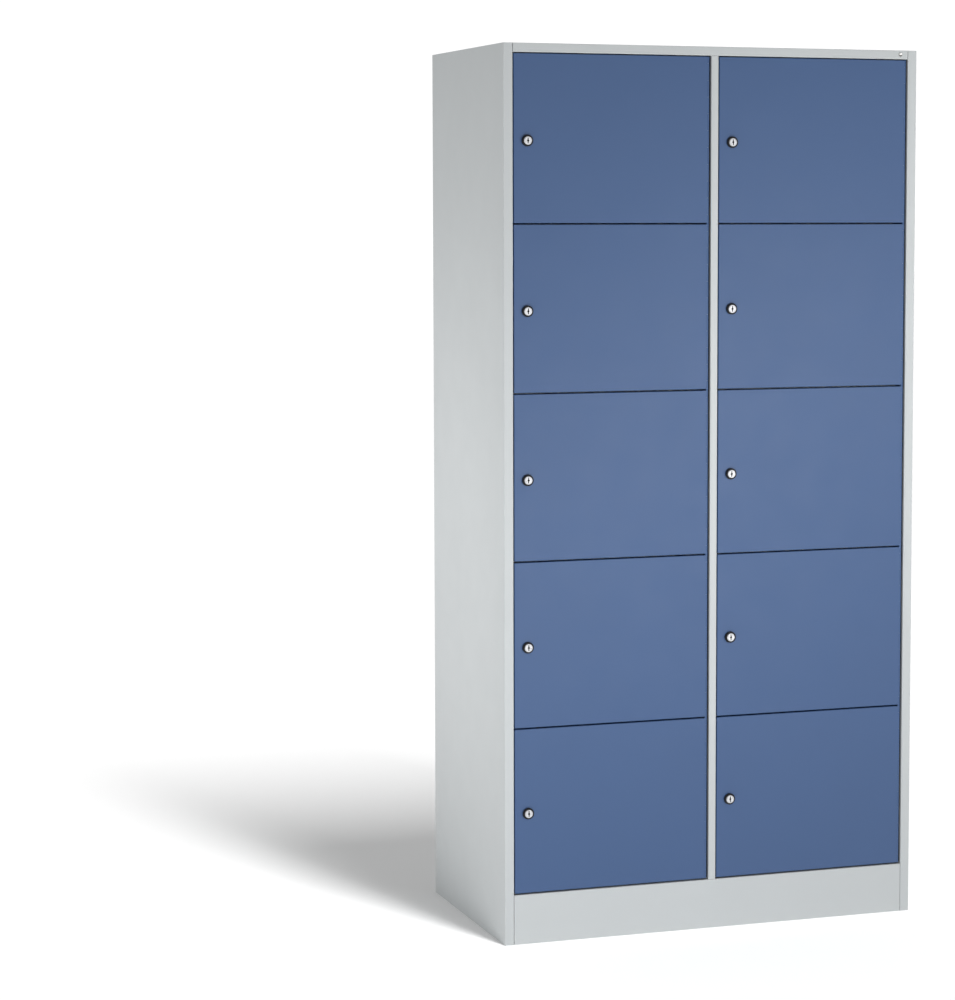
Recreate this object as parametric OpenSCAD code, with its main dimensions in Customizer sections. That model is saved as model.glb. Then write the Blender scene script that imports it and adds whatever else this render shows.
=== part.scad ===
// Coin operated locker: two columns of steel compartments with coin-return locks.
// Each door hangs on a full-height piano hinge at its right edge and has a lock near its left edge.
// +X is to the right, +Y runs from the front to the back and +Z is up.

/* [Carcass] */
// Width over both side panels
body_w = 920; // [860:10:1000]
// Depth from the front plane to the back
body_d = 500; // [420:10:600]
// Height from the floor to the top panel
body_h = 1850; // [1700:10:2000]
// Compartments in each column
rows = 5; // [4:1:6]
// Thickness of the sheet steel
sheet = 1.2; // [1:0.1:1.4]
// Width of the flange down each front edge
flange_w = 20; // [18:1:26]
// Width of the centre post between the two columns
post_w = 16; // [14:1:24]
// Height of the plinth under the compartments
plinth_h = 104; // [80:1:150]
// Height of the rail over the doors
rail_h = 18.5; // [16:0.5:40]

/* [Doors] */
// Gap between one door and the next
door_gap = 3; // [2:0.5:5]
// Gap over the top door
rail_gap = 2; // [2:0.5:5]
// Gap under the lowest door
plinth_gap = 3.5; // [2:0.5:5]
// Gap at the lock side of a door
lock_gap = 2; // [2:0.5:4]
// Gap between the hinge barrel and the frame
hinge_gap = 4; // [3.5:0.5:6]
// Depth of a door from its face to its turned-in edge
door_d = 18; // [16:1:20]
// Width of the turned-in edge round the back of a door
door_lip = 10; // [8:1:10]

/* [Hinges] */
// Outside diameter of a hinge barrel
barrel_dia = 6; // [5.6:0.1:6.4]
// Diameter of a hinge pin
pin_dia = 3; // [2.5:0.1:3.4]
// Knuckles that each door rolls round the pin
knuckles = 5; // [3:1:6]

/* [Locks] */
// Distance from a door's left edge to its lock
lock_inset = 28.5; // [28:0.5:34]
// How far a lock sits below the middle of its door
lock_drop = 4.5; // [0:0.5:20]
// How far the lock's face stands in front of the door
lock_proud = 7; // [6:0.5:10]
// Diameter of the turning plug
plug_dia = 17; // [16:0.5:17]
// Diameter of the rosette round the plug
rosette_dia = 24; // [23:0.5:28]
// How far the rosette stands in front of the door
rosette_h = 5.4; // [2:0.2:5.4]
// Travel of the bolt when the key turns a quarter turn
bolt_throw = 12; // [11:0.5:12]

/* [Fixings] */
// Diameter of the wall-fixing holes in the back
wall_hole_dia = 9; // [6:0.5:12]
// Distance across from one wall-fixing hole to the other
wall_hole_span = 600; // [400:10:700]
// Diameter of the blank badge on the top rail
badge_dia = 9; // [8:0.5:12]

/* [Hidden] */
$fn = 64;
SIDES = ["left", "right"];
CARCASS = [
  "side_panel_left", "side_panel_right", "top_panel", "top_rail", "back_panel", "floor_panel",
  "plinth_front", "base_crossbar", "centre_post", "partition_skin_left", "partition_skin_right",
  "shelves_left", "shelves_right", "hinge_leaf_left", "hinge_leaf_right", "hinge_pin_left",
  "hinge_pin_right", "strike_plates", "door_buffers", "rail_badge"
];
DOOR_SET = ["door", "coin_lock", "lock_plug", "lock_bolt"];

// Widths and heights that follow from the sizes above
half_w = body_w / 2;
inner_w = half_w - sheet;
opening_w = (body_w - 2 * flange_w - post_w) / 2;
joint_gap = 0.6;
rail_half = half_w - flange_w - joint_gap;
rail_z = body_h - rail_h;
door_h = (rail_z - rail_gap - plinth_h - plinth_gap - (rows - 1) * door_gap) / rows;
door_pitch = door_h + door_gap;
back_y = body_d - 2 * sheet;
front_y = (lock_proud - body_d) / 2;

// Flanges and folds of the carcass
lip_d = 15;
rear_flange_w = 18;
fold_w = 20;
rail_return = 14;
shelf_y = 24;
shelf_fold = 18;
crossbar_w = 60;

// Hinge: the axis is one barrel radius behind the front plane
barrel_r = barrel_dia / 2;
bore_r = pin_dia / 2 + 0.06;
barrel_gap = 0.4;
leaf_gap = 0.8;
leaf_d = 22;
knuckle_gap = 0.4;
knuckle_h = door_pitch / (2 * knuckles);

// Lock: sizes behind the door are measured from the front plane
plug_r = plug_dia / 2;
turn_gap = 0.05;
nose_r = 9.8;
door_hole_r = 10;
case_x = [-17.5, 34.5];
case_z = [-48, 37];
case_y = [sheet, 33.2];
wall = 2;
front_wall = 4;
boss_r = 12;
boss_y = 10;
crank_r = 10.4;
crank_y = [10.3, 13.3];
crank_pin_r = 1.5;
crank_reach = bolt_throw / sqrt(2);
bolt_y = [19.5, 24.5];
bolt_half_h = 5;
bolt_tip = -lock_inset + 1.5;
strike_t = 2;
strike_half_h = 25;
stop_y = 22;
buffer_dia = 8;
buffer_gap = 0.1;

STEEL = [0.80, 0.81, 0.80];
DOOR_BLUE = [0.30, 0.37, 0.52];
BLACK = [0.08, 0.08, 0.09];
NICKEL = [0.72, 0.71, 0.68];
ZINC = [0.62, 0.63, 0.64];

function column_x(c) = c == 0 ? flange_w - half_w : post_w / 2;
function door_x(c) = column_x(c) + lock_gap;
function hinge_x(c) = column_x(c) + opening_w - hinge_gap - barrel_r;
function door_z(r) = plinth_h + plinth_gap + (rows - r) * door_pitch;
function lock_x(c) = door_x(c) + lock_inset;
function lock_z(r) = door_z(r) + door_h / 2 - lock_drop;
function seam_z(r) = door_z(r) - door_gap / 2;

// A block given by its range along each axis
module slab(x, y, z) {
  translate([x[0], y[0], z[0]]) cube([x[1] - x[0], y[1] - y[0], z[1] - z[0]]);
}

// Moves a part drawn from the front plane to where the origin is under the middle of the whole
module placed() {
  translate([0, front_y, 0]) children();
}

// A round bar or hole along Y
module rod_y(r, y) {
  translate([0, y[0], 0]) rotate([-90, 0, 0]) cylinder(r = r, h = y[1] - y[0]);
}

// Turns a profile of [radius, distance behind the front plane] about a lock's axis
module turned_y(points) {
  rotate([-90, 0, 0]) rotate_extrude() polygon(points);
}

// ---- Carcass ----

// The left side panel: one sheet with a front flange and lip, and a rear flange
module side_panel() {
  color(STEEL) {
    slab([-half_w, -inner_w], [0, body_d], [0, body_h]);
    slab([-half_w, flange_w - half_w], [0, sheet], [0, body_h]);
    slab([flange_w - sheet - half_w, flange_w - half_w], [0, lip_d], [0, body_h - sheet]);
    slab([-half_w, rear_flange_w - half_w], [body_d - sheet, body_d], [0, body_h]);
  }
}

// The flat top sheet, let in between the sides and welded to the rear edge of the rail's top fold
module top_panel() {
  color(STEEL) {
    slab([-inner_w, inner_w], [rail_return, body_d - sheet], [body_h - sheet, body_h]);
    for (side = [0, 1]) mirror([side, 0, 0])
      slab([-inner_w, -rail_half], [sheet, rail_return], [body_h - sheet, body_h]);
  }
}

// The rail that closes the front over the doors, a channel whose top fold is level with the top sheet
module top_rail() {
  color(STEEL) {
    slab([-rail_half, rail_half], [0, sheet], [rail_z, body_h]);
    for (z = [rail_z, body_h - sheet])
      slab([-rail_half, rail_half], [0, rail_return], [z, z + sheet]);
  }
}

// The back sheet lies inside the rear flanges, under the top sheet, and has four holes for wall fixing
module back_panel() {
  color(STEEL) difference() {
    slab([-inner_w, inner_w], [back_y, back_y + sheet], [0, body_h - sheet]);
    for (x = [-0.5, 0.5] * wall_hole_span, z = [lock_z(1) + 120, lock_z(rows) + 120])
      translate([x, 0, z]) rod_y(wall_hole_dia / 2, [back_y - 1, back_y + sheet + 1]);
  }
}

// The floor of the lowest compartments, resting on the plinth's top fold
module floor_panel() {
  color(STEEL) {
    slab([-inner_w, inner_w], [lip_d + 0.5, back_y], [plinth_h - sheet, plinth_h]);
    slab([-rail_half, rail_half], [sheet, lip_d + 0.5], [plinth_h - sheet, plinth_h]);
    for (side = [0, 1]) mirror([side, 0, 0])
      slab([-inner_w, sheet - inner_w], [fold_w, back_y - fold_w], [plinth_h - fold_w, plinth_h]);
  }
}

// The plinth's face, with a fold that carries the floor and one that stands on the ground
module plinth_front() {
  color(STEEL) {
    slab([-rail_half, rail_half], [0, sheet], [0, plinth_h]);
    slab([-rail_half, rail_half], [0, rail_return], [plinth_h - 2 * sheet, plinth_h - sheet]);
    slab([-rail_half, rail_half], [0, fold_w], [0, sheet]);
  }
}

// A channel from front to back that carries the partition down to the floor
module base_crossbar() {
  top = plinth_h - sheet;
  run = [fold_w + 5, body_d - fold_w];
  color(STEEL) difference() {
    slab([-crossbar_w / 2, crossbar_w / 2], run, [0, top]);
    slab([sheet - crossbar_w / 2, crossbar_w / 2 - sheet], run + [-1, 1], [sheet, top + 1]);
  }
}

// The channel that faces the partition between the two columns of doors
module centre_post() {
  run = [plinth_h + joint_gap / 2, rail_z - joint_gap / 2];
  color(STEEL) difference() {
    slab([-post_w / 2, post_w / 2], [0, lip_d], run);
    slab([sheet - post_w / 2, post_w / 2 - sheet], [sheet, lip_d + 1], run + [-1, 1]);
  }
}

// One skin of the partition, where the right one has windows for the bolts and the stop tabs
module partition_skin(c) {
  x = c == 0 ? [-post_w / 2, sheet - post_w / 2] : [post_w / 2 - sheet, post_w / 2];
  color(STEEL) difference() {
    slab(x, [lip_d + 0.4, back_y], [plinth_h, body_h - sheet]);
    if (c == 1) for (r = [1:rows]) translate([0, 0, lock_z(r)])
      slab(x + [-1, 1], bolt_y + [-0.7, 0.7], [-0.5, 0.5] * (2 * strike_half_h + 1));
  }
}

// The trays that floor every compartment of a column but the lowest
module shelves(c) {
  x = c == 0 ? [-inner_w, -post_w / 2] : [post_w / 2, inner_w];
  color(STEEL) for (r = [1:rows - 1]) translate([0, 0, seam_z(r)]) {
    slab(x, [shelf_y, back_y], [-sheet, 0]);
    slab(x, [shelf_y, shelf_y + sheet], [-shelf_fold, 0]);
    slab(x, [shelf_y, shelf_y + 12], [-shelf_fold, sheet - shelf_fold]);
    slab(x, [back_y - sheet, back_y], [-shelf_fold, 0]);
  }
}

// ---- Hinges ----

// Where one door's knuckles start, counted up from its lower edge
function door_knuckle(i) = (2 * i + 0.5) * knuckle_h;

module barrel(z) {
  translate([0, barrel_r, z[0]]) difference() {
    cylinder(r = barrel_r, h = z[1] - z[0]);
    translate([0, 0, -1]) cylinder(r = bore_r, h = z[1] - z[0] + 2);
  }
}

// One frame knuckle with the tab that ties it to the leaf behind it
module frame_knuckle(z) {
  ends = z + [0.5, -0.5] * knuckle_gap;
  barrel(ends);
  difference() {
    slab([barrel_r - sheet, barrel_r], [barrel_r, barrel_dia + leaf_gap], ends);
    translate([0, barrel_r, ends[0] - 1]) cylinder(r = barrel_r - 0.5, h = ends[1] - ends[0] + 2);
  }
}

// The frame's half of a piano hinge, fixed to the frame at the right of its column
module hinge_leaf(c) {
  low = door_z(rows);
  high = door_z(1) + door_h;
  wall_x = barrel_r + hinge_gap;
  jog_y = barrel_dia + leaf_gap;
  color(DOOR_BLUE) translate([hinge_x(c), 0, 0]) {
    slab([barrel_r - sheet, wall_x], [jog_y, jog_y + sheet], [low, high]);
    slab([wall_x - sheet, wall_x], [jog_y, leaf_d], [low, high]);
    frame_knuckle([low, low + door_knuckle(0)]);
    for (r = [1:rows], i = [0:knuckles - 1]) {
      z = door_z(r) + door_knuckle(i) + knuckle_h;
      frame_knuckle([z, min(z + knuckle_h, high)]);
    }
  }
}

module hinge_pin(c) {
  color(ZINC) translate([hinge_x(c), barrel_r, door_z(rows) + 0.5])
    cylinder(d = pin_dia, h = door_z(1) + door_h - door_z(rows) - 1);
}

// ---- Doors ----

// A pressed door: a face with a turned-back edge all round, its right edge rolled into knuckles
module door(c, r) {
  x = [door_x(c), hinge_x(c) - barrel_r - barrel_gap];
  z = [door_z(r), door_z(r) + door_h];
  color(DOOR_BLUE) {
    difference() {
      slab(x, [0, door_d], z);
      slab(x + [sheet, -sheet], [sheet, door_d - sheet], z + [sheet, -sheet]);
      slab(x + [door_lip, -door_lip], [door_d - 2 * sheet, door_d + 1], z + [door_lip, -door_lip]);
      translate([lock_x(c), 0, lock_z(r)]) rod_y(door_hole_r, [-1, sheet + 1]);
    }
    for (i = [0:knuckles - 1]) translate([hinge_x(c), 0, 0]) {
      low = door_z(r) + door_knuckle(i) + knuckle_gap / 2;
      ends = [low, low + knuckle_h - knuckle_gap];
      barrel(ends);
      slab([-barrel_r - barrel_gap, -bore_r], [barrel_dia - sheet, barrel_dia], ends);
    }
  }
}

// ---- Locks ----

// Places a lock part on its axis, where x and z are measured from the axis
module at_lock(c, r) {
  translate([lock_x(c), 0, lock_z(r)]) children();
}

// The moulded case behind the door, with its nose, rosette, coin slot and coin return cup
module coin_lock(c, r) {
  cup_x = [-8, 26];
  cup_z = [-44, -22];
  cover_y = case_y[1] - wall;
  inner = [front_wall + case_y[0], cover_y];
  color(BLACK) at_lock(c, r) {
    difference() {
      union() {
        difference() {
          slab(case_x, case_y, case_z);
          slab(case_x + [wall, -wall], inner, case_z + [wall, -wall]);
        }
        rod_y(nose_r, [-1, case_y[0] + 1]);
        rod_y(boss_r, [inner[0] - 1, boss_y]);
        slab(cup_x + [-wall, wall], [16, cover_y + 0.5], cup_z + [-wall, wall]);
        slab([-14, -10], [bolt_y[1] + 0.3, cover_y + 0.5], [-1, 1] * bolt_half_h);
        turned_y([
          [plug_r, 0], [rosette_dia / 2, 0], [rosette_dia / 2 - 0.2, 1 - rosette_h],
          [rosette_dia / 2 - 1.2, -rosette_h], [plug_r, -rosette_h]
        ]);
      }
      rod_y(plug_r + turn_gap, [-rosette_h - 1, boss_y + 1]);
      slab([case_x[0] - 1, case_x[0] + wall + 1], bolt_y + [-0.3, 0.3], [-1, 1] * (bolt_half_h + 0.3));
      slab(cup_x, [18, case_y[1] + 1], cup_z);
      slab([-2, 26], [cover_y - 1, case_y[1] + 1], [20, 22.8]);
    }
  }
}

// The plug with its keyhole, and the crank behind it that drives the bolt
module lock_plug(c, r) {
  face = -lock_proud;
  color(NICKEL) at_lock(c, r) {
    difference() {
      turned_y([
        [0, face], [plug_r - 0.7, face], [plug_r, face + 0.7], [plug_r, boss_y + 0.3], [0, boss_y + 0.3]
      ]);
      rod_y(2.1, [face - 1, face + 9]);
      slab([-1, 1], [face - 1, face + 7], [-6, 6]);
      translate([0, 0, 7.2]) rod_y(0.45, [face - 1, face + 0.4]);
    }
    rod_y(crank_r, crank_y);
    rotate([0, 45, 0]) translate([crank_reach, 0, 0]) rod_y(crank_pin_r, [crank_y[1] - 1, 24]);
  }
}

// The bolt, with an upright slot that the crank pin works in
module lock_bolt(c, r) {
  slot_x = bolt_throw / 2;
  slot_half = crank_pin_r + 0.45;
  slot = [slot_x - slot_half, slot_x + slot_half];
  color(ZINC) at_lock(c, r) difference() {
    union() {
      slab([bolt_tip, 12], bolt_y, [-1, 1] * bolt_half_h);
      slab([slot_x - 6, 12], bolt_y, [-13, 0]);
    }
    slab(slot, bolt_y + [-1, 1], [-crank_reach - 2, 2 - slot_x]);
  }
}

// ---- Small parts at the doors' lock side ----

// Angle plates behind the frame's lip: each has a hole for the bolt and two tabs that stop the door
module strike_plates() {
  color(ZINC) for (c = [0, 1], r = [1:rows]) translate([column_x(c), 0, lock_z(r)]) difference() {
    union() {
      slab([-sheet - strike_t, -sheet], [sheet, 36], [-1, 1] * strike_half_h);
      for (side = [0, 1]) mirror([0, 0, side])
        slab([-sheet - strike_t, door_lip], [stop_y, stop_y + strike_t], [strike_half_h - 9, strike_half_h]);
    }
    slab([-sheet - strike_t - 1, 0], bolt_y + [-1, 1], [-1, 1] * (bolt_half_h + 1.5));
  }
}

// Rubber buffers on the stop tabs, just clear of the closed doors
module door_buffers() {
  for (c = [0, 1], r = [1:rows], side = [-1, 1])
    color(BLACK) translate([column_x(c) + 6, 0, lock_z(r) + side * (strike_half_h - 4.5)])
      rod_y(buffer_dia / 2, [door_d + buffer_gap, stop_y]);
}

// A plain domed disc at the right end of the top rail
module rail_badge() {
  rise = 1.4;
  dome = [for (turn = [0:15:90]) [badge_dia / 2 * cos(turn), -0.4 - (rise - 0.4) * sin(turn)]];
  color(NICKEL) translate([rail_half - 17.4, 0, body_h - rail_h / 2])
    turned_y(concat([[0, 0], [badge_dia / 2, 0]], dome));
}

placed() side_panel();  // side_panel_left
placed() mirror([1, 0, 0]) side_panel();  // side_panel_right
placed() top_panel();
placed() top_rail();
placed() back_panel();
placed() floor_panel();
placed() plinth_front();
placed() base_crossbar();
placed() centre_post();
placed() partition_skin(0);  // partition_skin_left
placed() partition_skin(1);  // partition_skin_right
placed() shelves(0);  // shelves_left
placed() shelves(1);  // shelves_right
placed() hinge_leaf(0);  // hinge_leaf_left
placed() hinge_leaf(1);  // hinge_leaf_right
placed() hinge_pin(0);  // hinge_pin_left
placed() hinge_pin(1);  // hinge_pin_right
placed() strike_plates();
placed() door_buffers();
placed() rail_badge();
for (c = [0, 1], r = [1:rows]) {
  suffix = str("_", SIDES[c], "_", r);
  placed() door(c, r);
  placed() coin_lock(c, r);
  placed() lock_plug(c, r);
  placed() lock_bolt(c, r);
}
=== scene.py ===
"""Looks of a coin operated locker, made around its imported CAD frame.

The row frame is in metres, with +Z up and the doors facing -Y. Sizes below are in millimetres unless
a name says otherwise, and places come from the boxes of the CAD nodes.
"""
import math

import bmesh
import bpy
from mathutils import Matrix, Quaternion, Vector


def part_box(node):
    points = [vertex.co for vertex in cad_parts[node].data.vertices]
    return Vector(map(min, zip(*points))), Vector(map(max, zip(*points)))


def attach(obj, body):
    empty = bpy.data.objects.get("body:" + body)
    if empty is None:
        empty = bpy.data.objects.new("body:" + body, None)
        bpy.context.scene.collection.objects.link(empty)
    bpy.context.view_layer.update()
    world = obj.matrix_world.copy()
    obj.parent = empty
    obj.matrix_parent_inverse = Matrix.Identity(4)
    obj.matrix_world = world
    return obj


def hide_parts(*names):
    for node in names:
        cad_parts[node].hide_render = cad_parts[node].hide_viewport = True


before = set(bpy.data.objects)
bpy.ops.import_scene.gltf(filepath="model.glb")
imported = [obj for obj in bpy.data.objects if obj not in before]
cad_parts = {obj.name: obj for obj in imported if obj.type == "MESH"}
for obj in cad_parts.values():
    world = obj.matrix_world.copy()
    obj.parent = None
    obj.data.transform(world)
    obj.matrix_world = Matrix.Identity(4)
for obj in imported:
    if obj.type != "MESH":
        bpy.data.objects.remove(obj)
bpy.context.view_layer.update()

# ---- Sizes that the CAD boxes don't give ----

MM = 0.001
SHEET = 1.2
BEND = 1.3
DOOR_LIP = 10
LIP = 15
RAIL_RETURN = 14
REAR_FLANGE = 18
FOLD = 20
SHELF_RETURN = 12
BARREL_R = 3
BARREL_GAP = 0.2
LEAF_GAP = 0.8
KNUCKLES = 5
KNUCKLE_GAP = 0.4
COIN_END = 0.5
END_PLAY = 0.5
HOLE_R = 10
WALL_HOLE_R = 4.5
PLUG_R = 8.5
LOCK_INSET = 28.5
LOCK_DROP = 4.5
LOCK_PROUD = 7
COLLAR_R = 10.4
COLLAR = (10.3, 13.3)
PLUG_EDGE = 0.9
PLUG_GROOVE = ((7.0, 0), (6.8, 0.28), (6.5, 0.28), (6.3, 0))
KEYHOLE = (1.0, 5.8, 2.2)
KEYHOLE_DEPTH = 6.5
CRANK_PLACE = (6, -6)
CRANK_R = 1.5
CRANK = (13, 24)
SCREW_R = 3.0
SCREW_PLACES = ((-13, 30), (-15, 32.5))
COIN_SLOT = ((-2, 26), (20, 22.8))
COIN_MOUTH = ((-5, 28.5), (17, 25.8))
MOUTH_RISE = 1.0
BUFFER_R = 4
BUFFER_DOME = 1.2
BUFFER_OFFSET = 20.5
LIP_START = 3
RAIL_GAP = 0.3
FLOOR_GAP = 0.2
WALL_HOLE_X = 300
WALL_HOLE_RISE = 120
WELD_INSET = 7.4
WELD_DROP = 9

SIDES = ("left", "right")
ROWS = range(1, 6)


def span(node):
    """A CAD node's lowest and highest corner, in millimetres."""
    low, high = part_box(node)
    return low / MM, high / MM


side_low, side_high = span("side_panel_left")
top_high = span("top_panel")[1]
post_low, post_high = span("centre_post")
plinth_high = span("plinth_front")[1]
floor_high = span("floor_panel")[1]
back_low, back_high = span("back_panel")
bar_low, bar_high = span("base_crossbar")

LEFT = side_low.x
FRONT = side_low.y
REAR = side_high.y
TOP = side_high.z
FLANGE = side_high.x
RAIL_Z = post_high.z + RAIL_GAP
PLINTH = plinth_high.z
RAIL_HALF = plinth_high.x
INNER = top_high.x
BOLT_WINDOW = (FRONT + 18.8, FRONT + 25.2)
WINDOW_HALF = 25.5


# ---- Outlines and solids ----


def along_z(u, v, w):
    return Vector((u, v, w))


def along_x(u, v, w):
    return Vector((w, u, v))


def along_y(u, v, w):
    return Vector((u, w, v))


def arc(centre, radius, start, end, steps):
    """Points on an arc, with its angles in degrees."""
    turns = [math.radians(start + (end - start) * i / steps) for i in range(steps + 1)]
    return [Vector((centre[0] + radius * math.cos(a), centre[1] + radius * math.sin(a))) for a in turns]


def rounded(points, radius):
    """An open line through points, with an arc of five steps at each inner corner."""
    points = [Vector(p) for p in points]
    line = [points[0]]
    for before, corner, after in zip(points, points[1:], points[2:]):
        a = (before - corner).normalized()
        b = (after - corner).normalized()
        half = a.angle(b) / 2
        centre = corner + (a + b).normalized() * (radius / math.sin(half))
        start = corner + a * (radius / math.tan(half)) - centre
        end = corner + b * (radius / math.tan(half)) - centre
        first = math.atan2(start.y, start.x)
        turn = math.atan2(start.x * end.y - start.y * end.x, start.dot(end))
        line += arc(centre, radius, math.degrees(first), math.degrees(first + turn), 5)
    return line + [points[-1]]


def beside(line, distance):
    """A line moved sideways, to its left where the distance is positive."""
    moved = []
    for i, point in enumerate(line):
        before = (point - line[i - 1]).normalized() if i else None
        after = (line[i + 1] - point).normalized() if i + 1 < len(line) else before
        before = after if before is None else before
        normal = Vector((-before.y - after.y, before.x + after.x)).normalized()
        moved.append(point + normal * (distance / normal.dot(Vector((-after.y, after.x)))))
    return moved


def folded(points, bend=BEND - SHEET / 2):
    """The outline of sheet steel folded along a line, which is the middle of its thickness."""
    return walled(rounded(points, bend))


def walled(line):
    """The outline of sheet steel that follows a line, which is the middle of its thickness."""
    return beside(line, SHEET / 2) + beside(line, -SHEET / 2)[::-1]


def prism(bm, outline, ends, place):
    """A closed prism: place turns an outline point and an end into a point in space."""
    near, far = [[bm.verts.new(place(p[0], p[1], w) * MM) for p in outline] for w in ends]
    bm.faces.new(near[::-1])
    bm.faces.new(far)
    skin(bm, near, far)


def skin(bm, near, far):
    """Joins two closed rings of vertices with faces."""
    for i in range(len(near)):
        j = (i + 1) % len(near)
        bm.faces.new((near[i], near[j], far[j], far[i]))


def block(bm, x, y, z):
    """A box from its range along each axis."""
    corners = bmesh.ops.create_cube(bm, size=1)["verts"]
    for corner in corners:
        share = corner.co + Vector((0.5, 0.5, 0.5))
        corner.co = Vector([r[0] + (r[1] - r[0]) * s for r, s in zip((x, y, z), share)]) * MM


def ring(bm, points, w, place=along_y):
    """A closed ring of vertices at one depth, and its edges."""
    verts = [bm.verts.new(place(p[0], p[1], w) * MM) for p in points]
    edges = [bm.edges.new((v, verts[(i + 1) % len(verts)])) for i, v in enumerate(verts)]
    return verts, edges


def circle(centre, radius, steps=48):
    return arc(centre, radius, 0, 360, steps)[:-1]


def lathe(bm, profile, centre, steps=56):
    """A solid turned about an axis along Y through centre (x, z). profile holds (radius, y) pairs."""
    rings = []
    for radius, y in profile:
        if radius > 0:
            rings.append(ring(bm, circle(centre, radius, steps), y)[0])
        else:
            rings.append([bm.verts.new(Vector((centre[0], y, centre[1])) * MM)])
    for near, far in zip(rings, rings[1:]):
        if len(near) == len(far):
            skin(bm, near, far)
            continue
        tip, rim = (near[0], far) if len(near) == 1 else (far[0], near)
        for i, v in enumerate(rim):
            bm.faces.new((v, rim[(i + 1) % len(rim)], tip))
    return rings


def plate(bm, outline, holes, ends, place=along_y):
    """A flat plate between two depths, with holes right through it."""
    faces = []
    for depth in ends:
        loops = [ring(bm, points, depth, place) for points in [outline, *holes]]
        bmesh.ops.triangle_fill(bm, edges=[e for _, edges in loops for e in edges], use_beauty=True)
        faces.append([verts for verts, _ in loops])
    for near, far in zip(*faces):
        skin(bm, near, far)


def rectangle(x, z, corner=0.0):
    """A rectangle's corners from its ranges, each turned into an arc where corner is more than 0."""
    if corner <= 0:
        return [(x[0], z[0]), (x[1], z[0]), (x[1], z[1]), (x[0], z[1])]
    points = []
    for i, (cx, cz) in enumerate(((1, 0), (1, 1), (0, 1), (0, 0))):
        centre = (x[cx] + (corner, -corner)[cx], z[cz] + (corner, -corner)[cz])
        points += arc(centre, corner, -90 + 90 * i, 90 * i, 4)
    return points


# ---- Pieces ----


def piece(name, bm, material, body, stands_for=()):
    """Makes a mesh into a piece that rides on a body and may stand for CAD nodes."""
    bmesh.ops.recalc_face_normals(bm, faces=bm.faces)
    mesh = bpy.data.meshes.new(name)
    bm.to_mesh(mesh)
    bm.free()
    mesh.materials.append(material)
    made = bpy.data.objects.new(name, mesh)
    bpy.context.scene.collection.objects.link(made)
    smooth(made)
    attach(made, body)
    if stands_for:
        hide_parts(*stands_for)
    return made


def smooth(made, angle=32):
    """Rounds off the shading of curved faces and keeps flat ones flat."""
    made.data.polygons.foreach_set("use_smooth", [True] * len(made.data.polygons))
    made.data.set_sharp_from_angle(angle=math.radians(angle))
    made.modifiers.new("Flat faces", "WEIGHTED_NORMAL").keep_sharp = True


def soften(node, material, width, angle=50):
    """Gives a CAD node its material, with its edges slightly rounded by modifiers."""
    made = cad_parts[node]
    made.data.materials.clear()
    made.data.materials.append(material)
    weld = made.modifiers.new("Weld", "WELD")
    weld.merge_threshold = 0.001 * MM
    flat = made.modifiers.new("Planes", "DECIMATE")
    flat.decimate_type = "DISSOLVE"
    flat.angle_limit = math.radians(1)
    edge = made.modifiers.new("Edges", "BEVEL")
    edge.width = width * MM
    edge.segments = 2
    edge.limit_method = "ANGLE"
    edge.angle_limit = math.radians(angle)
    made.modifiers.new("Flat faces", "WEIGHTED_NORMAL").keep_sharp = True


# ---- Materials ----


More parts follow.
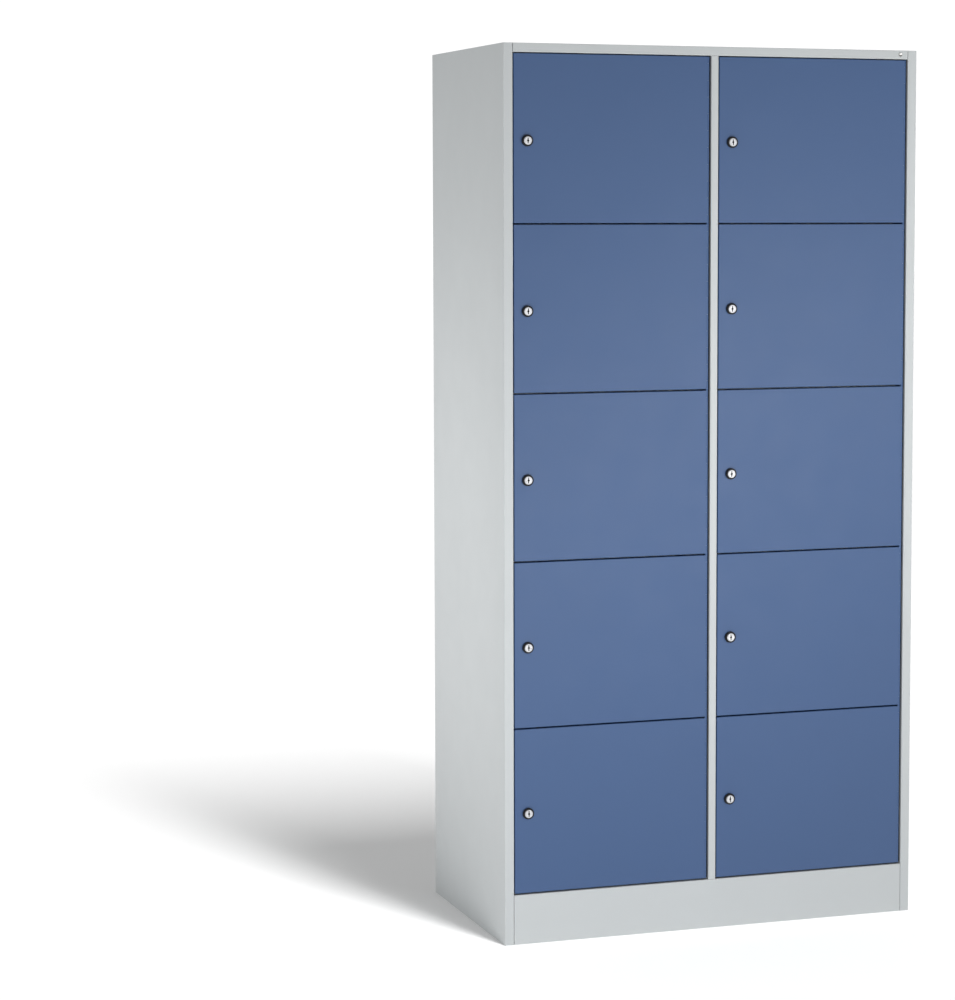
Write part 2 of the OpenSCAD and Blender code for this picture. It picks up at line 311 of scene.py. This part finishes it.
class Finish:
    """A material under construction: a Principled shader fed by noise in the piece's own metres."""

    def __init__(self, name, colour, rough, metal=0.0):
        self.material = bpy.data.materials.new(name)
        self.material.use_nodes = True
        self.tree = self.material.node_tree
        self.shader = self.tree.nodes["Principled BSDF"]
        self.shader.inputs["Base Color"].default_value = (*colour, 1)
        self.shader.inputs["Roughness"].default_value = rough
        self.shader.inputs["Metallic"].default_value = metal
        self.colour = colour
        self.rough = rough
        self.place = self.node("ShaderNodeTexCoord").outputs["Object"]
        self.normal = None

    def node(self, kind):
        return self.tree.nodes.new(kind)

    def link(self, source, target):
        self.tree.links.new(source, target)

    def noise(self, size, detail, stretch=(1, 1, 1)):
        """Noise from 0 to 1 whose lumps are about size millimetres across."""
        mapping = self.node("ShaderNodeMapping")
        mapping.inputs["Scale"].default_value = [s / (size * MM) for s in stretch]
        texture = self.node("ShaderNodeTexNoise")
        texture.inputs["Scale"].default_value = 1
        texture.inputs["Detail"].default_value = detail
        texture.inputs["Roughness"].default_value = 0.5
        self.link(self.place, mapping.inputs["Vector"])
        self.link(mapping.outputs["Vector"], texture.inputs["Vector"])
        return texture.outputs["Fac"]

    def spread(self, value, low, high, to_low, to_high):
        """Maps a range of values onto another, and clamps it."""
        node = self.node("ShaderNodeMapRange")
        for name, number in zip(("From Min", "From Max", "To Min", "To Max"), (low, high, to_low, to_high)):
            node.inputs[name].default_value = number
        self.link(value, node.inputs["Value"])
        return node.outputs["Result"]

    def tint(self, factor, shade):
        """Blends the colour so far towards a shade of it."""
        node = self.node("ShaderNodeMix")
        node.data_type = "RGBA"
        links = self.shader.inputs["Base Color"].links
        if links:
            self.link(links[0].from_socket, node.inputs["A"])
        else:
            node.inputs["A"].default_value = (*self.colour, 1)
        node.inputs["B"].default_value = (*shade, 1)
        self.link(factor, node.inputs["Factor"])
        self.link(node.outputs["Result"], self.shader.inputs["Base Color"])

    def mottle(self, size, amount, detail=3.0):
        """Lets the colour drift darker in places, by a small share at most."""
        value = self.noise(size, detail)
        self.tint(self.spread(value, 0.35, 0.65, 0, 1), [c * (1 - amount) for c in self.colour])

    def vary_rough(self, size, amount):
        """Lets the roughness drift up and down by an amount."""
        value = self.noise(size, 3.0)
        self.link(
            self.spread(value, 0.3, 0.7, self.rough - amount, self.rough + amount),
            self.shader.inputs["Roughness"],
        )

    def bump(self, height, depth):
        """Raises the surface by a height from 0 to 1 times a depth in millimetres."""
        node = self.node("ShaderNodeBump")
        node.inputs["Distance"].default_value = depth * MM
        node.inputs["Strength"].default_value = 1
        self.link(height, node.inputs["Height"])
        if self.normal is not None:
            self.link(self.normal, node.inputs["Normal"])
        self.normal = node.outputs["Normal"]
        self.link(self.normal, self.shader.inputs["Normal"])


def powder_coat(name, colour, rough):
    """Satin powder coat on sheet steel: fine orange peel, slow waves in the sheet and faint mottling."""
    coat = Finish(name, colour, rough)
    coat.mottle(180, 0.035)
    coat.mottle(0.8, 0.05, 1.0)
    coat.vary_rough(60, 0.035)
    coat.bump(coat.noise(260, 1.0), 0.9)
    coat.bump(coat.noise(2.2, 1.5), 0.012)
    return coat.material


def moulded_plastic(name, colour, rough):
    """Dull moulded plastic with a fine grain."""
    plastic = Finish(name, colour, rough)
    plastic.shader.inputs["Specular IOR Level"].default_value = 0.25
    plastic.mottle(6, 0.25)
    plastic.vary_rough(9, 0.06)
    plastic.bump(plastic.noise(0.35, 2.0), 0.012)
    return plastic.material


def zinc_plate(name, colour, rough):
    """Bright zinc: cloudy crystals, drawn lines from rolling and faint yellow passivation."""
    zinc = Finish(name, colour, rough, 1.0)
    zinc.mottle(5, 0.18)
    zinc.tint(zinc.spread(zinc.noise(24, 2.0), 0.5, 0.7, 0, 0.5), (0.62, 0.57, 0.44))
    zinc.vary_rough(4, 0.09)
    zinc.bump(zinc.noise(0.5, 2.0, (1, 1, 0.08)), 0.01)
    return zinc.material


def turned_nickel(name, colour, rough):
    """Nickel plate over a turned face: rings about the axis, small scratches from keys."""
    nickel = Finish(name, colour, rough, 1.0)
    own = nickel.node("ShaderNodeTexCoord").outputs["Generated"]
    shift = nickel.node("ShaderNodeMapping")
    shift.inputs["Location"].default_value = (-0.5, 0, -0.5)
    nickel.link(own, shift.inputs["Vector"])
    rings = nickel.node("ShaderNodeTexWave")
    rings.wave_type = "RINGS"
    rings.rings_direction = "Y"
    rings.inputs["Scale"].default_value = 22
    rings.inputs["Distortion"].default_value = 0.6
    rings.inputs["Detail"].default_value = 1
    nickel.link(shift.outputs["Vector"], rings.inputs["Vector"])
    nickel.mottle(3, 0.12)
    nickel.vary_rough(1.6, 0.08)
    nickel.bump(rings.outputs["Fac"], 0.006)
    nickel.bump(nickel.noise(0.6, 2.0, (1, 1, 0.1)), 0.006)
    return nickel.material


def soft_rubber(name, colour):
    """Matt rubber with a slightly coarse grain."""
    rubber = Finish(name, colour, 0.75)
    rubber.mottle(4, 0.3)
    rubber.vary_rough(5, 0.08)
    rubber.bump(rubber.noise(0.5, 2.0), 0.03)
    return rubber.material


GREY = powder_coat("carcass_powder_coat", (0.535, 0.562, 0.570), 0.42)
BLUE = powder_coat("door_powder_coat", (0.0435, 0.096, 0.225), 0.40)
BLACK = moulded_plastic("lock_plastic", (0.012, 0.012, 0.014), 0.42)
ZINC = zinc_plate("zinc_plate", (0.62, 0.63, 0.64), 0.34)
NICKEL = turned_nickel("turned_nickel", (0.72, 0.725, 0.74), 0.42)
BADGE = turned_nickel("badge_metal", (0.72, 0.72, 0.71), 0.16)
# Near black inside the keyhole: painted shade in the slot
KEYWAY_SHADE = moulded_plastic("keyway_painted_shade", (0.004, 0.004, 0.005), 0.7)
# Near black on the hinge leaf: painted shade for the gap between each barrel and the post
LEAF_SHADE = moulded_plastic("hinge_leaf_painted_shade", (0.004, 0.005, 0.008), 0.7)
RUBBER = soft_rubber("buffer_rubber", (0.02, 0.02, 0.02))


# ---- Carcass ----


def side_panels():
    """Each side is one sheet, folded in plan into its flanges, with a lip behind the front one."""
    half = SHEET / 2
    lip_start = FRONT + LIP_START
    for side, name in ((1, "side_panel_left"), (-1, "side_panel_right")):
        bm = bmesh.new()
        line = [
            (side * (LEFT + REAR_FLANGE), REAR - half),
            (side * (LEFT + half), REAR - half),
            (side * (LEFT + half), FRONT + half),
            (side * (FLANGE - half), FRONT + half),
            (side * (FLANGE - half), lip_start),
        ]
        prism(bm, folded(line), (0, TOP), along_z)
        lip = sorted((side * (FLANGE - SHEET), side * FLANGE))
        block(bm, lip, (lip_start, FRONT + LIP), (0, TOP - SHEET - 0.1))
        piece(name + "_sheet", bm, GREY, "root", [name])


def top_panel():
    """The flat top sheet, notched round the rail's top fold."""
    edge = FRONT + RAIL_RETURN
    bm = bmesh.new()
    outline = [
        (-INNER, FRONT + SHEET),
        (-RAIL_HALF, FRONT + SHEET),
        (-RAIL_HALF, edge),
        (RAIL_HALF, edge),
        (RAIL_HALF, FRONT + SHEET),
        (INNER, FRONT + SHEET),
        (INNER, top_high.y),
        (-INNER, top_high.y),
    ]
    prism(bm, outline, (TOP - SHEET, TOP), along_z)
    piece("top_panel_sheet", bm, GREY, "root", ["top_panel"])


def top_rail():
    """The channel over the doors: its lower fold, its face, and a top fold level with the top sheet."""
    half = SHEET / 2
    bm = bmesh.new()
    line = [
        (FRONT + RAIL_RETURN, RAIL_Z + half),
        (FRONT + half, RAIL_Z + half),
        (FRONT + half, TOP - half),
        (FRONT + RAIL_RETURN, TOP - half),
    ]
    prism(bm, folded(line), (-RAIL_HALF, RAIL_HALF - END_PLAY), along_x)
    piece("top_rail_sheet", bm, GREY, "root", ["top_rail"])


def wall_holes():
    """Centres of the four holes in the back, in the top and bottom compartments."""
    heights = [lock_centre("left", row)[1] + WALL_HOLE_RISE for row in (1, 5)]
    return [(x, z) for x in (-WALL_HOLE_X, WALL_HOLE_X) for z in heights]


def back_panel():
    """The flat back sheet with its four holes."""
    bm = bmesh.new()
    outline = rectangle((back_low.x, back_high.x), (back_low.z, back_high.z))
    holes = [circle(centre, WALL_HOLE_R, 32) for centre in wall_holes()]
    plate(bm, outline, holes, (back_low.y, back_high.y))
    piece("back_panel_sheet", bm, GREY, "root", ["back_panel"])


def plinth():
    """The plinth is a channel with a fold at its foot and one under the floor sheet."""
    half = SHEET / 2
    bm = bmesh.new()
    line = [
        (FRONT + FOLD, half),
        (FRONT + half, half),
        (FRONT + half, PLINTH - half),
        (FRONT + RAIL_RETURN, PLINTH - half),
    ]
    prism(bm, folded(line), (-RAIL_HALF, RAIL_HALF - END_PLAY), along_x)
    piece("plinth_sheet", bm, GREY, "root", ["plinth_front"])


def floor_panel():
    """The floor sheet, narrower at the front between the side panels' lips, with folds down its sides."""
    front = FRONT + RAIL_RETURN + FLOOR_GAP
    step = FRONT + LIP + 0.5
    bm = bmesh.new()
    block(bm, (-RAIL_HALF, RAIL_HALF), (front, step), (PLINTH - SHEET, PLINTH))
    block(bm, (-INNER, INNER), (step, floor_high.y), (PLINTH - SHEET, PLINTH))
    for side in (-1, 1):
        flange = sorted((side * (INNER - SHEET), side * INNER))
        block(bm, flange, (FRONT + FOLD, floor_high.y - FOLD), (PLINTH - FOLD, PLINTH - SHEET))
    piece("floor_panel_sheet", bm, GREY, "root", ["floor_panel"])


def base_crossbar():
    """The channel on the ground under the partition."""
    half = SHEET / 2
    bm = bmesh.new()
    x = bar_high.x - half
    line = [(-x, bar_high.z), (-x, half), (x, half), (x, bar_high.z)]
    prism(bm, folded(line), (bar_low.y, bar_high.y), along_y)
    piece("base_crossbar_sheet", bm, GREY, "root", ["base_crossbar"])


def partition():
    """The centre post and the two skins behind it. The right one has windows for the bolts."""
    half = SHEET / 2
    x = post_high.x - half
    bm = bmesh.new()
    line = [(-x, post_high.y), (-x, FRONT + half), (x, FRONT + half), (x, post_high.y)]
    prism(bm, folded(line), (post_low.z, post_high.z), along_z)
    piece("centre_post_sheet", bm, GREY, "root", ["centre_post"])
    windows = []
    for row in ROWS:
        z = lock_centre("right", row)[1]
        windows.append(rectangle(BOLT_WINDOW, (z - WINDOW_HALF, z + WINDOW_HALF), 1.0))
    for name, holes in (("partition_skin_left", []), ("partition_skin_right", windows)):
        low, high = span(name)
        bm = bmesh.new()
        plate(bm, rectangle((low.y, high.y), (low.z, high.z)), holes, (low.x, high.x), along_x)
        piece(name + "_sheet", bm, GREY, "root", [name])


def shelf_levels():
    """Heights of the shelves' upper faces: half way between one door and the next."""
    lows = [span(f"door_left_{row}")[0].z for row in ROWS[:-1]]
    highs = [span(f"door_left_{row}")[1].z for row in ROWS[1:]]
    return [(low + high) / 2 for low, high in zip(lows, highs)]


def shelves():
    """Shelves folded down at the front and the back, with a return behind the front fold."""
    half = SHEET / 2
    for name in ("shelves_left", "shelves_right"):
        low, high = span(name)
        depth = shelf_levels()[-1] - low.z
        bm = bmesh.new()
        for z in shelf_levels():
            line = [
                (low.y + SHELF_RETURN, z - depth + half),
                (low.y + half, z - depth + half),
                (low.y + half, z - half),
                (high.y - half, z - half),
                (high.y - half, z - depth),
            ]
            prism(bm, folded(line), (low.x, high.x), along_x)
        piece(name + "_sheets", bm, GREY, "root", [name])


def spot_welds():
    """Rows of shallow weld marks where the back meets the partition and the shelves."""
    bm = bmesh.new()
    face = back_high.y
    places = [(x, z) for x in (-WELD_INSET, WELD_INSET) for z in range(150, 1800, 110)]
    across = [x for x in range(-400, 401, 80) if abs(x) > 20]
    places += [(x, z - WELD_DROP) for z in shelf_levels() for x in across]
    mark = [(0, 0.12), (1.6, 0.10), (2.4, 0.34), (3.0, 0.02), (3.0, -0.3), (0, -0.3)]
    for centre in places:
        lathe(bm, [(radius, face + rise) for radius, rise in mark], centre, steps=16)
    piece("back_spot_welds", bm, GREY, "root")


# ---- Hinges ----


def hinge_axis(side):
    """Where a column's hinge axis is, in plan."""
    return span(f"door_{side}_1")[1].x - BARREL_R, FRONT + BARREL_R


def knuckle_spans(side, row):
    """Height ranges of a door's own knuckles and of the frame's knuckles above each of them."""
    low, high = span(f"door_{side}_{row}")
    pitch = span("door_left_1")[0].z - span("door_left_2")[0].z
    length = pitch / (2 * KNUCKLES)
    starts = [low.z + (2 * i + 0.5) * length for i in range(KNUCKLES)]
    top = high.z if row == 1 else high.z + pitch
    return [(z, z + length) for z in starts], [(z + length, min(z + 2 * length, top)) for z in starts]


def curl(centre, start, end):
    """The middle line of a sheet rolled round the hinge pin."""
    return arc(centre, BARREL_R - SHEET / 2, start, end, 28)


def trimmed(ends):
    """A knuckle's height range, less half a gap at each end."""
    return ends[0] + KNUCKLE_GAP / 2, ends[1] - KNUCKLE_GAP / 2


def hinge_leaves():
    """The frame's half of each piano hinge: a folded leaf, near black as painted shade in the gap, with blue
    knuckles along it.
    """
    half = SHEET / 2
    for side in SIDES:
        name = f"hinge_leaf_{side}"
        low, high = span(name)
        x, y = hinge_axis(side)
        jog = FRONT + 2 * BARREL_R + LEAF_GAP + half
        wall = high.x - half
        bm = bmesh.new()
        flat = folded([(wall, high.y), (wall, jog), (x + BARREL_R - SHEET, jog)], 1.0)
        prism(bm, flat, (low.z, high.z), along_z)
        # The leaf's faces take the second material, near black as painted shade in the gap
        for face in bm.faces:
            face.material_index = 1
        frame_spans = [s for row in ROWS for s in knuckle_spans(side, row)[1]]
        lowest = knuckle_spans(side, 5)[0][0][0]
        frame_spans.append((low.z, lowest))
        rolled = [Vector((x + BARREL_R - half, jog))] + curl((x, y), 0, -285)
        for ends in frame_spans:
            prism(bm, walled(rolled), trimmed(ends), along_z)
        made = piece(name + "_rolled", bm, BLUE, "root", [name])
        made.data.materials.append(LEAF_SHADE)


# ---- Doors ----


def door_rings(depth):
    """The section of a pressed door, as (inset, depth) from the front face round to the inner face."""
    inner = BEND - SHEET
    section = [(BEND - p.x, BEND - p.y) for p in arc((0, 0), BEND, 90, 0, 6)]
    section += [(BEND - p.x, depth - BEND + p.y) for p in arc((0, 0), BEND, 0, 90, 6)]
    section += [(DOOR_LIP, depth), (DOOR_LIP, depth - SHEET)]
    section += [(BEND - p.x, depth - BEND + p.y) for p in arc((0, 0), inner, 90, 0, 3)]
    section += [(BEND - p.x, BEND - p.y) for p in arc((0, 0), inner, 0, 90, 3)]
    return section


def coined_edge(edge, axis):
    """The outline of the skin's edge between two knuckles, pressed hollow to clear the frame's barrel."""
    hollow = arc(axis, BARREL_R + 0.12, -121, -170, 8)
    return [(edge - BEND, FRONT), (hollow[0].x, FRONT), *hollow, (edge - BEND, hollow[-1].y)]


def door(side, row):
    """A pressed steel pan with a hole for the lock, and knuckles rolled from the skin at its right edge."""
    name = f"door_{side}_{row}"
    low, high = span(name)
    axis = hinge_axis(side)
    x = (low.x, axis[0] - BARREL_R - BARREL_GAP)
    z = (low.z, high.z)
    bm = bmesh.new()
    rings = []
    for inset, depth in door_rings(high.y - low.y):
        corner = max(BEND + 0.4 - inset, 0.3)
        points = rectangle((x[0] + inset, x[1] - inset), (z[0] + inset, z[1] - inset), corner)
        rings.append(ring(bm, points, FRONT + depth))
    for (near, _), (far, _) in zip(rings, rings[1:]):
        skin(bm, near, far)
    holes = []
    for (_, edges), depth in ((rings[0], 0), (rings[-1], SHEET)):
        hole, hole_edges = ring(bm, circle(lock_centre(side, row), HOLE_R), FRONT + depth)
        bmesh.ops.triangle_fill(bm, edges=edges + hole_edges, use_beauty=True)
        holes.append(hole)
    skin(bm, *holes)
    tab = Vector((x[1] - BEND, FRONT + SHEET / 2))
    knuckles = [trimmed(ends) for ends in knuckle_spans(side, row)[0]]
    for ends in knuckles:
        prism(bm, walled([tab] + curl(axis, -90, 190)), ends, along_z)
    stops = [z[0] + COIN_END, *[stop for ends in knuckles for stop in ends], z[1] - COIN_END]
    for ends in zip(stops[::2], stops[1::2]):
        prism(bm, coined_edge(x[1], axis), ends, along_z)
    piece(name + "_pan", bm, BLUE, name, [name])


# ---- Locks ----


def lock_centre(side, row):
    """A lock's axis, as (x, z)."""
    low, high = span(f"door_{side}_{row}")
    return low.x + LOCK_INSET, (low.z + high.z) / 2 - LOCK_DROP


def keyhole(centre, wide, high, hub):
    """A round hub with a slot up and down from it. wide and high are half of the slot's width and height."""
    x, z = centre
    bend = math.degrees(math.asin(wide / hub))
    right = arc((x, z), hub, bend - 90, 90 - bend, 14)
    left = arc((x, z), hub, 90 + bend, 270 - bend, 14)
    top = [Vector((x + wide, z + high)), Vector((x - wide, z + high))]
    return right + top + left + [Vector((x - wide, z - high)), Vector((x + wide, z - high))]


def plug(side, row):
    """The turning plug: a plated disc with a rim and a keyhole, and its crank behind."""
    suffix = f"{side}_{row}"
    centre = lock_centre(side, row)
    face = FRONT - LOCK_PROUD
    bm = bmesh.new()
    near, far = FRONT + COLLAR[0], FRONT + COLLAR[1]
    rim = [(COLLAR_R, far), (COLLAR_R, near), (PLUG_R, near), (PLUG_R, face + PLUG_EDGE)]
    turned = arc((0, 0), PLUG_EDGE, 18, 90, 4)
    rim += [(PLUG_R - PLUG_EDGE + p.x, face + PLUG_EDGE - p.y) for p in turned]
    rim += [(radius, face + depth) for radius, depth in PLUG_GROOVE]
    rings = lathe(bm, [(0, far), *rim], centre)
    edge = [bm.edges.get((v, rings[-1][(i + 1) % len(rings[-1])])) for i, v in enumerate(rings[-1])]
    outline = keyhole(centre, *KEYHOLE)
    verts, edges = ring(bm, outline, face)
    bmesh.ops.triangle_fill(bm, edges=edge + edges, use_beauty=True)
    first_inner = len(bm.faces)
    floor, _ = ring(bm, outline, face + KEYHOLE_DEPTH)
    skin(bm, verts, floor)
    bm.faces.new(floor)
    # The keyhole's walls and floor take the near-black painted shade
    for inner in list(bm.faces)[first_inner:]:
        inner.material_index = 1
    pin = Vector(centre) + Vector(CRANK_PLACE)
    near, far = FRONT + CRANK[0], FRONT + CRANK[1]
    lathe(bm, [(0, far), (CRANK_R, far), (CRANK_R, near), (0, near)], pin, steps=20)
    made = piece(f"plug_{suffix}_disc", bm, NICKEL, f"plug_{suffix}", [f"lock_plug_{suffix}"])
    made.data.materials.append(KEYWAY_SHADE)


def screw(bm, centre, y):
    """A cross-head screw facing the inside of the locker."""
    head = [(0, -1), (SCREW_R, -1), (SCREW_R, 0.1), (SCREW_R - 0.4, 0.35)]
    rim = lathe(bm, [(radius, y + rise) for radius, rise in head], centre, steps=28)[-1]
    edge = [bm.edges.get((v, rim[(i + 1) % len(rim)])) for i, v in enumerate(rim)]
    arm, reach = 0.34 * SCREW_R / 2, 0.62 * SCREW_R
    quarter = [(reach, -arm), (reach, arm), (arm, arm)]
    cross = []
    for turn in range(4):
        c, s = math.cos(math.radians(90 * turn)), math.sin(math.radians(90 * turn))
        for u, v in quarter:
            cross.append((centre[0] + u * c - v * s, centre[1] + u * s + v * c))
    verts, edges = ring(bm, cross, y + 0.35)
    bmesh.ops.triangle_fill(bm, edges=edge + edges, use_beauty=True)
    floor, _ = ring(bm, cross, y - 0.6)
    skin(bm, verts, floor)
    bm.faces.new(floor)


def lock_trim(side, row):
    """Four screws that hold the case's cover, and the metal mouth round the coin slot."""
    suffix = f"{side}_{row}"
    x, z = lock_centre(side, row)
    back = span(f"coin_lock_{suffix}")[1].y
    bm = bmesh.new()
    for dx in SCREW_PLACES[0]:
        for dz in SCREW_PLACES[1]:
            screw(bm, (x + dx, z + dz), back)
    piece(f"case_screws_{suffix}", bm, ZINC, f"door_{suffix}")
    bm = bmesh.new()
    slot, mouth = [
        rectangle([x + dx for dx in across], [z + dz for dz in up], corner)
        for (across, up), corner in ((COIN_SLOT, 0.6), (COIN_MOUTH, 2.0))
    ]
    plate(bm, mouth, [slot], (back, back + MOUTH_RISE))
    piece(f"coin_mouth_{suffix}", bm, ZINC, f"door_{suffix}")


def locks():
    """Every lock's plug and trim, and softer edges on its CAD case and bolt."""
    for side in SIDES:
        for row in ROWS:
            plug(side, row)
            lock_trim(side, row)
            soften(f"coin_lock_{side}_{row}", BLACK, 0.5, 40)
            soften(f"lock_bolt_{side}_{row}", ZINC, 0.4, 40)


# ---- Small parts ----


def buffers():
    """Rubber buffers with a domed face towards the doors."""
    bm = bmesh.new()
    low, high = span("door_buffers")
    turns = (0, 0.35, 0.7, 1.05, 1.4)
    crown = low.y + BUFFER_DOME
    dome = [(BUFFER_R * math.cos(a), crown - BUFFER_DOME * math.sin(a)) for a in turns]
    profile = [(0, high.y), (BUFFER_R, high.y), *dome, (0, low.y)]
    for side in SIDES:
        x = span(f"door_{side}_1")[0].x + BUFFER_R
        for row in ROWS:
            z = lock_centre(side, row)[1]
            for dz in (-BUFFER_OFFSET, BUFFER_OFFSET):
                lathe(bm, profile, (x, z + dz), steps=28)
    piece("rubber_buffers", bm, RUBBER, "root", ["door_buffers"])


def badge():
    """A plain dished disc at the right end of the rail."""
    low, high = span("rail_badge")
    centre = ((low.x + high.x) / 2, (low.z + high.z) / 2)
    radius = (high.x - low.x) / 2
    inner = radius - 0.7
    rim = [(radius, FRONT - 0.9), (radius - 0.15, low.y + 0.2), (radius - 0.4, low.y)]
    rim.append((inner, low.y + 0.1))
    dish = [(inner * r, low.y + 0.1 + 1.1 * (1 - r * r)) for r in (0.85, 0.7, 0.5, 0.3, 0)]
    bm = bmesh.new()
    lathe(bm, [(0, FRONT), (radius, FRONT), *rim, *dish], centre)
    piece("rail_badge_dish", bm, BADGE, "root", ["rail_badge"])


# ---- Build ----

side_panels()
top_panel()
top_rail()
back_panel()
plinth()
floor_panel()
base_crossbar()
partition()
shelves()
spot_welds()
hinge_leaves()
for side in SIDES:
    for row in ROWS:
        door(side, row)
locks()
buffers()
badge()
soften("strike_plates", ZINC, 0.3)
for side in SIDES:
    soften(f"hinge_pin_{side}", ZINC, 0.2)


# ---- Studio ----


def stage_floor():
    """A plain pale floor."""
    bm = bmesh.new()
    bmesh.ops.create_grid(bm, x_segments=1, y_segments=1, size=60)
    mesh = bpy.data.meshes.new("studio_floor")
    bm.to_mesh(mesh)
    bm.free()
    floor = Finish("studio_floor", (0.92, 0.92, 0.92), 0.9)
    floor.shader.inputs["Specular IOR Level"].default_value = 0
    floor.shader.inputs["Emission Color"].default_value = (1, 1, 1, 1)
    floor.shader.inputs["Emission Strength"].default_value = 0.08
    mesh.materials.append(floor.material)
    made = bpy.data.objects.new("studio_floor", mesh)
    bpy.context.scene.collection.objects.link(made)
    return made


def linked_group(name, member, state):
    """A group that holds a light to one object, or keeps the light off it."""
    group = bpy.data.collections.new(name)
    group.objects.link(member)
    group.collection_objects[0].light_linking.link_state = state
    return group


def softbox(name, radiance, size, place, target, receivers, turn=0.0, diffuse=True, glossy=True):
    """A rectangular light, unseen by the camera: its size and places in metres, its turn in degrees."""
    data = bpy.data.lights.new(name, "AREA")
    data.shape = "RECTANGLE"
    data.size, data.size_y = size
    data.energy = radiance * math.pi * size[0] * size[1]
    made = bpy.data.objects.new(name, data)
    made.location = place
    aim = (Vector(target) - Vector(place)).to_track_quat("-Z", "Y")
    made.rotation_euler = (aim @ Quaternion((0, 0, 1), math.radians(turn))).to_euler()
    made.visible_camera = False
    made.visible_diffuse = diffuse
    made.visible_glossy = glossy
    made.light_linking.receiver_collection = receivers
    bpy.context.scene.collection.objects.link(made)


def surround():
    """White behind the locker, and a dimmer even light from all round."""
    world = bpy.data.worlds.new("studio")
    world.use_nodes = True
    tree = world.node_tree
    even = tree.nodes["Background"]
    even.inputs["Color"].default_value = (1, 1, 1, 1)
    even.inputs["Strength"].default_value = 0.36
    seen = tree.nodes.new("ShaderNodeBackground")
    seen.inputs["Color"].default_value = (1, 1, 1, 1)
    seen.inputs["Strength"].default_value = 1.05
    path = tree.nodes.new("ShaderNodeLightPath")
    mix = tree.nodes.new("ShaderNodeMixShader")
    tree.links.new(path.outputs["Is Camera Ray"], mix.inputs["Fac"])
    tree.links.new(even.outputs["Background"], mix.inputs[1])
    tree.links.new(seen.outputs["Background"], mix.inputs[2])
    tree.links.new(mix.outputs["Shader"], tree.nodes["World Output"].inputs["Surface"])
    bpy.context.scene.world = world


# The strip light over the floor: its heading in plan, its elevation in degrees, its distance in metres
STRIP_HEADING = (0.287, -0.958)
STRIP_ELEVATION = 58
STRIP_DISTANCE = 1200


def studio(floor):
    """A far strip light that lights the floor from the front right, and softboxes for the locker."""
    surround()
    on_floor = linked_group("only_floor", floor, "INCLUDE")
    off_floor = linked_group("not_floor", floor, "EXCLUDE")
    corner = Vector((LEFT, FRONT, 0)) * MM
    steep = math.radians(STRIP_ELEVATION)
    across, along = STRIP_HEADING
    toward = Vector((across * math.cos(steep), along * math.cos(steep), math.sin(steep)))
    softbox("floor_strip", 39.5, (147, 670), corner + toward * STRIP_DISTANCE, corner, on_floor)
    # name, radiance, size, place, target, turn, and whether it lights diffuse and glossy surfaces
    boxes = (
        ("front_strip", 6.85, (3.0, 0.2), (-0.034, -1.5, 0.82), (0, 0, 0.85), 31.3, True, False),
        ("front_sheen", 1.2, (1.3, 0.8), (0.85, -2.3, 0.75), (0.1, 0, 0.95), 45, True, True),
        ("front_card", 0.75, (4.0, 3.4), (1.0, -4.2, 0.45), (0.3, 0, 1.2), 25, False, True),
        ("top_box", 10, (0.8, 0.4), (0, 0, 3.2), (0, 0, 1.85), 0, True, False),
        ("side_box", 2.0, (0.8, 0.8), (-1.36, 0.12, 0.88), (-0.46, 0, 0.8), 0, True, False),
        ("right_box", 1.6, (0.9, 0.9), (1.7, 0.12, 1.0), (0.46, 0, 0.92), 0, True, False),
        ("back_box", 1.6, (1.3, 1.3), (0, 1.9, 1.05), (0, 0.25, 0.92), 0, True, False),
    )
    for name, radiance, size, place, target, turn, diffuse, glossy in boxes:
        softbox(name, radiance, size, place, target, off_floor, turn, diffuse, glossy)


# The sensor in millimetres, the place in metres, angles in degrees, and the focal length as a share
# of the sensor's long side
SENSOR = 36
CAMERA_PLACE = (-2.254, -5.780, 1.509)
CAMERA_YAW = 19.437
CAMERA_PITCH = 4.834
CAMERA_FOCAL = 2.868
CAMERA_SHIFT = (-0.1, -0.045)


def camera():
    """The camera stands to the left of the locker at standing height, with a long lens."""
    data = bpy.data.cameras.new("camera")
    data.sensor_fit = "AUTO"
    data.sensor_width = SENSOR
    data.lens = CAMERA_FOCAL * SENSOR
    data.shift_x, data.shift_y = CAMERA_SHIFT
    data.clip_end = 200
    made = bpy.data.objects.new("camera", data)
    made.location = CAMERA_PLACE
    made.rotation_euler = (math.radians(90 - CAMERA_PITCH), 0, math.radians(-CAMERA_YAW))
    bpy.context.scene.collection.objects.link(made)
    bpy.context.scene.camera = made


studio(stage_floor())
camera()
bpy.context.scene.view_settings.view_transform = "Standard"
